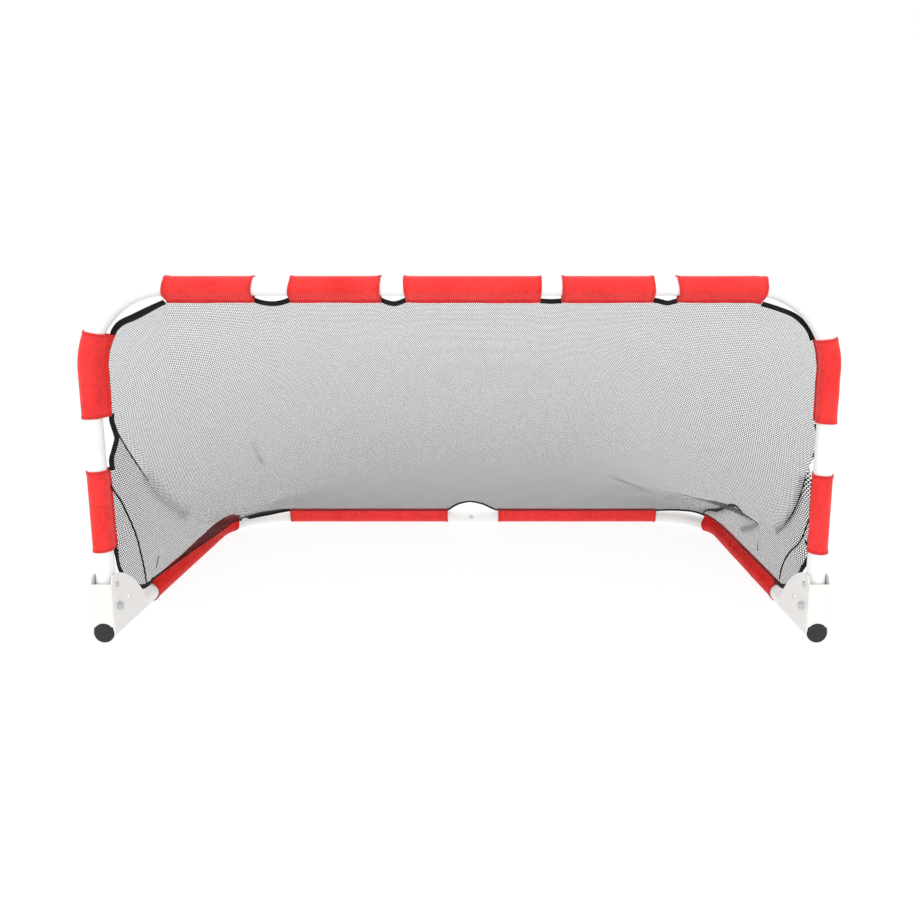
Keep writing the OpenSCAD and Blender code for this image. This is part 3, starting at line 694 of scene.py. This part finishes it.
TOP = walk(COR_L, tm["bar_sleeve_outer_left"][4:-2], GAP1[1:-1], tm["bar_sleeve_inner_left"][2:-2], GAP2[1:-1], tm["bar_sleeve_centre"][2:-2], GAP3[1:-1],
           tm["bar_sleeve_inner_right"][2:-2], GAP4[1:-1], tm["bar_sleeve_outer_right"][2:-3], COR_R[1:])
REAR = walk(REAR_L, tm["rear_sleeve_left"][3:-3], REAR_C[1:-1], tm["rear_sleeve_right"][3:-3], REAR_R)
_ul, _ll = tm["post_sleeve_upper_left"][::-1], tm["post_sleeve_lower_left"][::-1]
_ur, _lr = tm["post_sleeve_upper_right"][::-1], tm["post_sleeve_lower_right"][::-1]
_ul, _ll, _ur, _lr = (a[a[:, 2].argsort()[::-1]] for a in (_ul, _ll, _ur, _lr))
SEAM_L = spline([(-577.4, 18, 392), (-579.5, 21, 378), (-581.6, 30, 362), (-582, 59, 324), (-582, 89, 290), (-582, 139, 237), (-582, 199, 185), (-581.8, 240, 157), (-581.5, 291, 122), (-581, 356, 88), (-580, 430, 66), (-576, 510, 48), RL], 150)
SEAM_R = spline([(587, 24, 296), (584.5, 27, 277), (582.5, 35, 248), (582, 54, 213), (582, 90, 174), (582, 130, 146), (582, 180, 133), (582, 240, 130), (581.5, 308, 126), (581.3, 356, 122), (581, 393, 112), (580.8, 428, 98), (580, 475, 79), (578.5, 520, 66), (575.5, 548, 55), RR], 150)
_ulh = _ul[_ul[:, 2] > 394]
_urh = _ur
EDGE_BL = walk(COR_L[:1], _ulh[1:], SEAM_L)                                   # left edge of the back panel, down
_gpr = GAP_PR[GAP_PR[:, 2] > 300]
EDGE_BR = walk(COR_R[-1:], _urh[2:-2], _gpr[1:], SEAM_R)
SIDE_PL = walk(SEAM_L[:1], GAP_PL[1:-1], _ll[3:-3], LOW_L[1:-1], tm["side_sleeve_left"][3:])   # outer edge of the left panel
SIDE_PR = walk(SEAM_R[:1], _lr[5:-3], LOW_R[1:-1], tm["side_sleeve_right"][3:])


def along(poly, n):
    return resample(poly, n)


def by_x(poly, xs):
    p = poly[poly[:, 0].argsort()]
    return np.stack([xs, np.interp(xs, p[:, 0], p[:, 1]), np.interp(xs, p[:, 0], p[:, 2])], 1)


# ---------------------------------------------------------------- the net: back panel
NU, NV = 210, 140
top = by_x(TOP, np.linspace(EDGE_BL[0, 0], EDGE_BR[0, 0], NU + 1))
rear = by_x(REAR, np.linspace(RL[0], RR[0], NU + 1))
edge_l, edge_r = along(EDGE_BL, NV + 1), along(EDGE_BR, NV + 1)
top[0], top[-1], rear[0], rear[-1] = edge_l[0], edge_r[0], edge_l[-1], edge_r[-1]
v = np.linspace(0, 1, NV + 1)[:, None, None]
u = np.linspace(0, 1, NU + 1)[None, :, None]
base = (1 - v) * top[None] + v * rear[None]
slope_n = np.array([0, 0.6549, 0.7557])
ub, vb = u[..., 0] + 0 * v[..., 0], v[..., 0] + 0 * u[..., 0]
sag = 15 * np.sin(np.pi * vb) * np.sin(np.pi * np.clip(ub, 0, 1)) ** 0.5
base = base - sag[..., None] * slope_n
def fall(d, reach, power=1.0):
    t = np.clip(d / reach, 0, 1)
    return ((1 - t) ** 2 * (1 + 2 * t)) ** power
wide = 1160.0
reach_l = 330 + 60 * np.sin(np.pi * vb) - 190 * smooth((vb - 0.62) / 0.36)
reach_r = 360 + 40 * np.sin(np.pi * vb) - 230 * smooth((vb - 0.62) / 0.36)
wl, wr_ = fall(ub * wide, reach_l), fall((1 - ub) * wide, reach_r)
back = base + wl[..., None] * (edge_l[:, None] - base[:, :1]) + wr_[..., None] * (edge_r[:, None] - base[:, -1:])
# relax the inside a little, so that the gaps in the sleeves fade out as they would in cloth
for _ in range(30):
    mid = 0.25 * (back[:-2, 1:-1] + back[2:, 1:-1] + back[1:-1, :-2] + back[1:-1, 2:])
    back[1:-1, 1:-1] += 0.5 * (mid - back[1:-1, 1:-1])
# slack: broad waves, and ripples that fan out of the rear corners and off the slack seams
X, Yb = back[..., 0], back[..., 1]
inside = smooth(np.minimum.reduce([ub, 1 - ub]) * wide / 60) * smooth(np.minimum(vb * 6, (1 - vb) * 9))
run_v = vb * 810
wave = 3.2 * noise2(X / 190.0, run_v / 150.0, 41, 2)
for cxr, side in ((RL, -1), (RR, 1)):
    dx, dv = (X - cxr[0]) * -side, (1 - vb) * 810
    rr = np.hypot(dx, dv)
    an = np.arctan2(dv, dx)
    wave += 4.2 * np.sin(an * (11 if side > 0 else 8) + 0.8 * noise2(rr / 90.0, an * 2, 43 + side, 2)) * np.exp(-((rr - 150) / 95.0) ** 2)
wave += 2.2 * np.sin(X / 24.0 + run_v / 30.0 + 2.0 * noise2(X / 120.0, run_v / 120.0, 47, 2)) * fall((1 - vb) * 810, 190) * smooth((1 - vb) * 810 / 40)
back = back - (wave * inside)[..., None] * slope_n


def grid_faces(nr, nc, flip=False):
    f = []
    for i in range(nr - 1):
        for j in range(nc - 1):
            q = (i * nc + j, i * nc + j + 1, (i + 1) * nc + j + 1, (i + 1) * nc + j)
            f.append(q[::-1] if flip else q)
    return f


def arc_uv(g):
    """Cloth coordinates in metres: distance along each row from its middle, and down each column from the top."""
    dr = np.linalg.norm(np.diff(g, axis=1), axis=2)
    uu = np.concatenate([np.zeros((g.shape[0], 1)), np.cumsum(dr, 1)], 1)
    uu -= uu[:, uu.shape[1] // 2][:, None]
    dc = np.linalg.norm(np.diff(g, axis=0), axis=2)
    vv = np.concatenate([np.zeros((1, g.shape[1])), np.cumsum(dc, 0)], 0)
    return np.stack([uu, vv], 2).reshape(-1, 2) / 1000.0


def area_of(ob):
    return float(sum(p.area for p in ob.data.polygons))


BANDS = [([(-582, 128, 248), (-582, 168, 210), (-582, 199, 185), (-581.8, 240, 157), (-581.5, 282, 128)], 13.0, 0.10),
         ([(582, 30, 270), (582, 51, 217), (582, 90, 174), (582, 128, 146)], 6.0, 0.26),
         ([(581, 270, 128), (581, 308, 126), (581, 356, 124), (581, 393, 115), (580.5, 428, 99), (580, 470, 80), (571, 562, 45)], 11.0, 0.16),
         ([(580.5, 318, 85), (580, 286, 99), (580, 258, 111), (580, 228, 127)], 7.0, 0.24),
         ([(325, 420, 168), (350, 436, 156), (376.9, 447.4, 142.4), (402, 475, 122)], 10.0, 0.14),
         ([(-403.2, 190.8, 300.1), (-404.2, 221.5, 272.6), (-407.7, 256.5, 241.9)], 3.0, 0.12)]


def bunching(g):
    """How much the holes close where the slack net gathers: soft bands along a few folds."""
    p = g.reshape(-1, 3)
    out = np.zeros(len(p))
    for pts, width, amount in BANDS:
        c = spline(pts, 60)
        d = np.full(len(p), 1e9)
        for q in c:
            d = np.minimum(d, ((p - q) ** 2).sum(1))
        out = np.maximum(out, amount * np.exp(-d / width ** 2))
    return np.column_stack([out, np.zeros(len(p))])


net_back = make("net_back_mesh", back.reshape(-1, 3), grid_faces(NV + 1, NU + 1), M_NET, uv=arc_uv(back), uv2=bunching(back))


# ---------------------------------------------------------------- the net: side panels
def side_panel(seam, outer, side, name, seed):
    n, m = 130, 46
    a, b = along(seam, n + 1), along(outer, n + 1)
    t = np.linspace(0, 1, m + 1)[:, None, None]
    g = (1 - t) * a[None] + t * b[None]
    g[:, 0], g[:, -1] = a[0], a[-1]
    tt = t[..., 0] + 0 * g[..., 0]
    width = np.linalg.norm(a - b, axis=1)[None]
    slack = np.sin(np.pi * tt) * smooth(width / 90)
    g[..., 0] += side * -1.0 * slack * (2.5 + 1.8 * noise2(g[..., 1] / 60.0, g[..., 2] / 60.0, seed, 2))
    uvs = np.stack([g[..., 1], g[..., 2]], 2).reshape(-1, 2) / 1000.0
    ob = make(name, g.reshape(-1, 3), grid_faces(m + 1, n + 1, side > 0), M_NET_SIDE, uv=uvs, uv2=bunching(g))
    return ob, g


net_left, grid_l = side_panel(SEAM_L, SIDE_PL, -1, "net_left_mesh", 51)
net_right, grid_r = side_panel(SEAM_R, SIDE_PR, 1, "net_right_mesh", 52)


def on_side(points, side):
    """Puts (y, z) points on a side panel's surface."""
    g = (grid_l if side < 0 else grid_r).reshape(-1, 3)
    p = P3(points)
    d = (g[None, :, 1] - p[:, :1]) ** 2 + (g[None, :, 2] - p[:, 1:2]) ** 2
    k = np.argsort(d, axis=1)[:, :6]
    w = 1 / (np.take_along_axis(d, k, 1) + 1)
    x = (g[k, 0] * w).sum(1) / w.sum(1)
    return np.column_stack([x, p])


# ---------------------------------------------------------------- tapes and seams
def ribbon(runs, name, mat, round_n=5, taper=0.0):
    """Closed strips with rounded edges. Each run is (points, width direction, width, thickness)."""
    V, Fc, UVs = [], [], []
    for pts, wd, w, t in runs:
        pts = np.asarray(pts, float)
        n = len(pts)
        T = unit(np.gradient(pts, axis=0))
        W = np.broadcast_to(np.asarray(wd, float), pts.shape)
        W = unit(W - T * (W * T).sum(1)[:, None])
        N = unit(np.cross(T, W))
        S = np.r_[0, np.cumsum(np.linalg.norm(np.diff(pts, axis=0), axis=1))]
        w_, t_ = np.broadcast_to(w, (n,)).astype(float), np.broadcast_to(t, (n,)).astype(float)
        e = np.minimum(S, S[-1] - S)
        if taper:
            k = 0.35 + 0.65 * smooth(e / taper)
            t_ = t_ * k
        base = len(V)
        m = 2 * round_n + 2
        for i in range(n):
            hw, ht = w_[i] / 2, t_[i] / 2
            sec = []
            for a in np.linspace(-math.pi / 2, math.pi / 2, round_n):
                sec.append((hw - ht + ht * math.cos(a), ht * math.sin(a)))
            sec.append((0.0, ht * 0.82))
            for a in np.linspace(math.pi / 2, 3 * math.pi / 2, round_n):
                sec.append((-hw + ht + ht * math.cos(a), ht * math.sin(a)))
            sec.append((0.0, -ht * 0.82))
            for (x, y) in sec:
                V.append(pts[i] + W[i] * x + N[i] * y)
                UVs.append((S[i] / 1000.0, (x + (hw * 2 if y < 0 else 0)) / 1000.0))
        for i in range(n - 1):
            for k in range(m):
                k2 = (k + 1) % m
                Fc.append((base + i * m + k, base + i * m + k2, base + (i + 1) * m + k2, base + (i + 1) * m + k))
        Fc.append(tuple(base + k for k in range(m - 1, -1, -1)))
        Fc.append(tuple(base + (n - 1) * m + k for k in range(m)))
    ob = make(name, np.array(V), Fc, mat, uv=np.array(UVs))
    bm = bmesh.new(); bm.from_mesh(ob.data)
    bmesh.ops.recalc_face_normals(bm, faces=bm.faces)
    bm.to_mesh(ob.data); bm.free()
    ob.data.polygons.foreach_set("use_smooth", [True] * len(ob.data.polygons))
    return ob


def wobble(pts, seed, amp=0.5, axis=(0, 1, 0)):
    pts = np.asarray(pts, float).copy()
    s = np.r_[0, np.cumsum(np.linalg.norm(np.diff(pts, axis=0), axis=1))]
    return pts + amp * noise1(s / 14.0, seed)[:, None] * np.asarray(axis, float)


TW, TT = 8.5, 1.3
down = (0, 0.34, -0.94)
tape_top = ribbon([(wobble(g, 60 + i), down, TW, TT) for i, g in enumerate((GAP1, GAP2, GAP3, GAP4))]
                  + [(wobble(COR_L, 65), (0.55, 0.35, -0.75), 8.0 + 3.0 * np.sin(np.linspace(0, math.pi, len(COR_L))), 1.5),
                     (wobble(COR_R, 66), (-0.55, 0.35, -0.75), 8.2, 1.5)], "tape_crossbar", M_TAPE, taper=7.0)
thin = lambda pts: (pts, None)


def edge_run(name, a=0, b=None, wdt=4.0, thk=1.5, up=0.6, inward=0.0):
    """The narrow edge of tape that shows along a sleeve's tail."""
    pts = te[name][a:b]
    X, Y = SLEEVES[name]["X"][a:b], SLEEVES[name]["Y"][a:b]
    return (pts + up * X + inward * Y, X, wdt, thk)


tape_left = ribbon([(wobble(GAP_PL, 67, 0.4, (1, 0, 0)), (0.75, 0.65, 0), TW * 0.95, TT),
                    (wobble(LOW_L, 68, 0.4, (1, 0, 0)), (0, 0.75, 0.65), 9.0, TT),
                    edge_run("side_sleeve_left", inward=1.0)], "tape_left", M_TAPE, taper=7.0)
tape_right = ribbon([(wobble(GAP_PR[5:29], 69, 0.3, (1, 0, 0)), (0.98, -0.2, 0), TW * 0.95, TT),
                     (wobble(LOW_R, 70, 0.4, (1, 0, 0)), (0, 0.75, 0.65), 9.0, TT),
                     edge_run("side_sleeve_right", up=0.9)], "tape_right", M_TAPE, taper=7.0)
rear_w = (0, -0.70, 0.71)
tape_rear = ribbon([(wobble(REAR_L, 71, 0.5, (0, 0, 1)), (0, -0.2, 0.98), 4.5 + 8.5 * np.sin(np.linspace(0.1, math.pi - 0.1, len(REAR_L))), 2.0), (wobble(REAR_C, 72, 0.4, (0, 0, 1)), rear_w, 6.6, TT),
                    (wobble(REAR_R, 73, 0.5, (0, 0, 1)), (0, -0.2, 0.98), 5.2, 1.5),
                    edge_run("rear_sleeve_left", up=1.2), edge_run("rear_sleeve_right", up=1.2)], "tape_rear", M_TAPE, taper=7.0)


def lift(pts, side, h):
    p = np.asarray(pts, float).copy()
    p[:, 0] -= side * h
    return p


GUS_L = on_side([(17.6, 262), (26, 249), (37, 232), (54, 200), (73, 157), (86, 121), (97, 82), (101, 66), (104, 54)], -1)
GUS_R = on_side([(21, 203), (24, 196), (42, 158), (69, 123), (90, 96), (102, 74), (107, 60)], 1)
seam_runs = [(wobble(lift(SEAM_L[2:44], -1, 0.7), 81, 0.25), (0, -0.62, -0.78), np.interp(np.arange(42), [0, 8, 28, 41], [3.0, 3.0, 2.8, 1.0]), 1.7),
             (wobble(lift(SEAM_R[4:34], 1, 0.5), 82, 0.25), (0, -0.62, -0.78), np.interp(np.arange(30), [0, 20, 29], [1.6, 2.6, 1.2]), 1.3),
             (wobble(lift(spline(GUS_L, 70), -1, 0.9), 83, 0.3), (0, 0.85, 0.5), 3.8, 1.9),
             (wobble(lift(spline(GUS_R, 60), 1, 0.9), 84, 0.3), (0, 0.85, 0.5), 3.4, 1.8)]
seams = ribbon(seam_runs, "net_seams", M_TAPE, taper=9.0)
flat_w = (0, 0.45, 0.89)
pleat_runs = [(spline([(572, 560, 46), (575, 549, 57), (577.5, 520, 68), (579, 475, 81), (579.5, 428, 101), (579.5, 393, 116), (579.5, 356, 127), (579.5, 328, 128.5), (579.5, 300, 125)], 70), flat_w, 8.0 * np.sin(np.linspace(0.35, math.pi - 0.1, 70)) + 0.8, 1.1),
              (spline([(581.2, 217, 94), (581.4, 218, 86), (581.6, 214, 75)], 16), (0, 1, 0), 2.4, 0.8),
              (spline([(-581.2, 155, 88), (-581.4, 148, 77), (-581.6, 141, 68)], 16), (0, 1, 0), 2.2, 0.8)]
pleats = ribbon(pleat_runs, "net_pleats", M_PLEAT, taper=6.0)


# ---------------------------------------------------------------- baking the net, tapes and side sleeves in place, and the crossbar tape riding on the front frame
def fold_weights(ob):
    """Works out how far each point would turn with the front frame: all the way where the net hangs on the front frame,
    none on the ground frame, and by its angle about the fold axis between them, so that the folded net would lie
    between the two frames. Along the side rails the loose cloth would be pressed down by the folded posts. The weights
    are worked out but neither stored nor returned.
    """
    co = np.empty(len(ob.data.vertices) * 3, np.float32)
    ob.data.vertices.foreach_get("co", co)
    p = co.reshape(-1, 3).astype(float) * 1000.0
    x, y, z = np.abs(p[:, 0]), p[:, 1] - YP, p[:, 2] - ZPIV
    r = np.maximum(np.hypot(y, z), 1.0)
    al = np.degrees(np.arctan2(z, y))
    rail = smooth((x - 535) / 30) * (1 - smooth((y - 572) / 26))
    s = (24.0 * smooth((608 - r) / 42) * (1 - rail) + 23.5 * rail) * smooth((r - 30) / 60)
    delta = np.degrees(np.arcsin(np.clip(s / r, 0, 0.5))) / 90.0
    over = np.maximum(z + ZPIV - 32.6, 0)
    press = np.degrees(np.clip(over * 0.93 / r, 0, 0.5)) / 90.0 * (rail + (1 - rail) * (1 - smooth((y - 560) / 30)))
    q = smooth((r - 70) / 60)
    k = smooth((y - 24.5 + 3.5 * q) / (40.0 - 35.0 * q))
    fold_in = np.clip(al / 90.0 + delta, 0, 1)
    t = smooth((al + 1.0) / 2.0)
    w = (1 - k) + k * (fold_in * t + press * (1 - t))
    w = np.where((al < -1.0) & (y > 64.5), press, np.clip(w, 0, 1))


for ob, nodes, sl in ((net_back, ("net_back",), "net_mesh"), (net_left, ("net_left",), "net_mesh"), (net_right, ("net_right",), "net_mesh"),
                      (tape_left, ("binding_left",), "binding_tape"), (tape_right, ("binding_right",), "binding_tape"), (seams, (), "binding_tape"), (pleats, (), "net_mesh"), (tape_rear, ("binding_rear",), "binding_tape")):
    if nodes:
        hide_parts(*nodes)
    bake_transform(ob)
    fold_weights(ob)
for n in ("side_sleeve_left", "side_sleeve_right"):
    d = SLEEVES[n]
    for ob in (d["cloth"], d["stitching"]):
        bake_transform(ob)
        fold_weights(ob)
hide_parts("binding_crossbar"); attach(tape_top, F)

for ob, g, tp, post in ((net_left, grid_l, tape_left, "post_sleeve_lower_left_cloth"), (net_right, grid_r, tape_right, "post_sleeve_lower_right_cloth")):
    w, h = float(np.ptp(g[..., 1])) / 1000, float(np.ptp(g[..., 2])) / 1000
    a = area_of(ob)
    h = min(h, a / 0.32 / w)


# ---------------------------------------------------------------- floor, light, camera
def stage_floor():
    s = 12.0
    me = bpy.data.meshes.new("floor")
    me.from_pydata([(-s, -s, 0), (s, -s, 0), (s, s, 0), (-s, s, 0)], [], [(0, 1, 2, 3)])
    ob = bpy.data.objects.new("floor", me)
    bpy.context.scene.collection.objects.link(ob)
    m, nt, b, _ = new_mat("pale_floor")
    nz = node(nt, "ShaderNodeTexNoise", Scale=3.0)
    tc = node(nt, "ShaderNodeTexCoord")
    nt.links.new(tc.outputs["Object"], nz.inputs["Vector"])
    nt.links.new(ramp(nt, nz.outputs[0], [(0.3, (0.12, 0.12, 0.12)), (0.7, (0.13, 0.13, 0.13))]), b.inputs["Base Color"])
    b.inputs["Roughness"].default_value = 0.9
    b.inputs["Specular IOR Level"].default_value = 0.0
    b.inputs["Emission Color"].default_value = (1, 1, 1, 1)
    b.inputs["Emission Strength"].default_value = 0.905
    me.materials.append(m)
    ob.location.z = -0.0005
    return ob


stage_floor()
world = bpy.data.worlds.new("studio")
bpy.context.scene.world = world
world.use_nodes = True
bg = world.node_tree.nodes.get("Background") or world.node_tree.nodes.new("ShaderNodeBackground")
bg.inputs[0].default_value = (1, 1, 1, 1)
bg.inputs[1].default_value = 1.01


def area_light(name, loc, target, size, power):
    d = bpy.data.lights.new(name, "AREA")
    d.shape = "RECTANGLE"
    d.size, d.size_y = size
    d.energy = power
    o = bpy.data.objects.new(name, d)
    bpy.context.scene.collection.objects.link(o)
    o.location = loc
    o.rotation_euler = (Vector(target) - Vector(loc)).to_track_quat("-Z", "Y").to_euler()
    return o


area_light("key", (-0.5, -2.3, 2.7), (0, -0.2, 0.35), (2.8, 1.2), 23)
area_light("fill", (0.6, -2.9, 0.9), (0, 0, 0.3), (2.6, 1.2), 7)
area_light("back", (0.2, 2.4, 2.6), (0, 0.1, 0.2), (2.6, 1.4), 10)

cam = bpy.data.cameras.new("camera")
cam_ob = bpy.data.objects.new("camera", cam)
bpy.context.scene.collection.objects.link(cam_ob)
cam_ob.location = (0.0509, (-1184.44 + YP) / 1000, 0.58513)
cam_ob.rotation_euler = (math.radians(90 - 8.716), 0, 0)
cam.sensor_width = 36
cam.lens = 735 / 920 * 36
cam.shift_x = (460 - 490.8) / 920
cam.shift_y = (404.37 - 460) / 920
cam.clip_start, cam.clip_end = 0.05, 60
bpy.context.scene.camera = cam_ob
bpy.context.scene.view_settings.view_transform = "Standard"
bpy.context.scene.view_settings.look = "None"
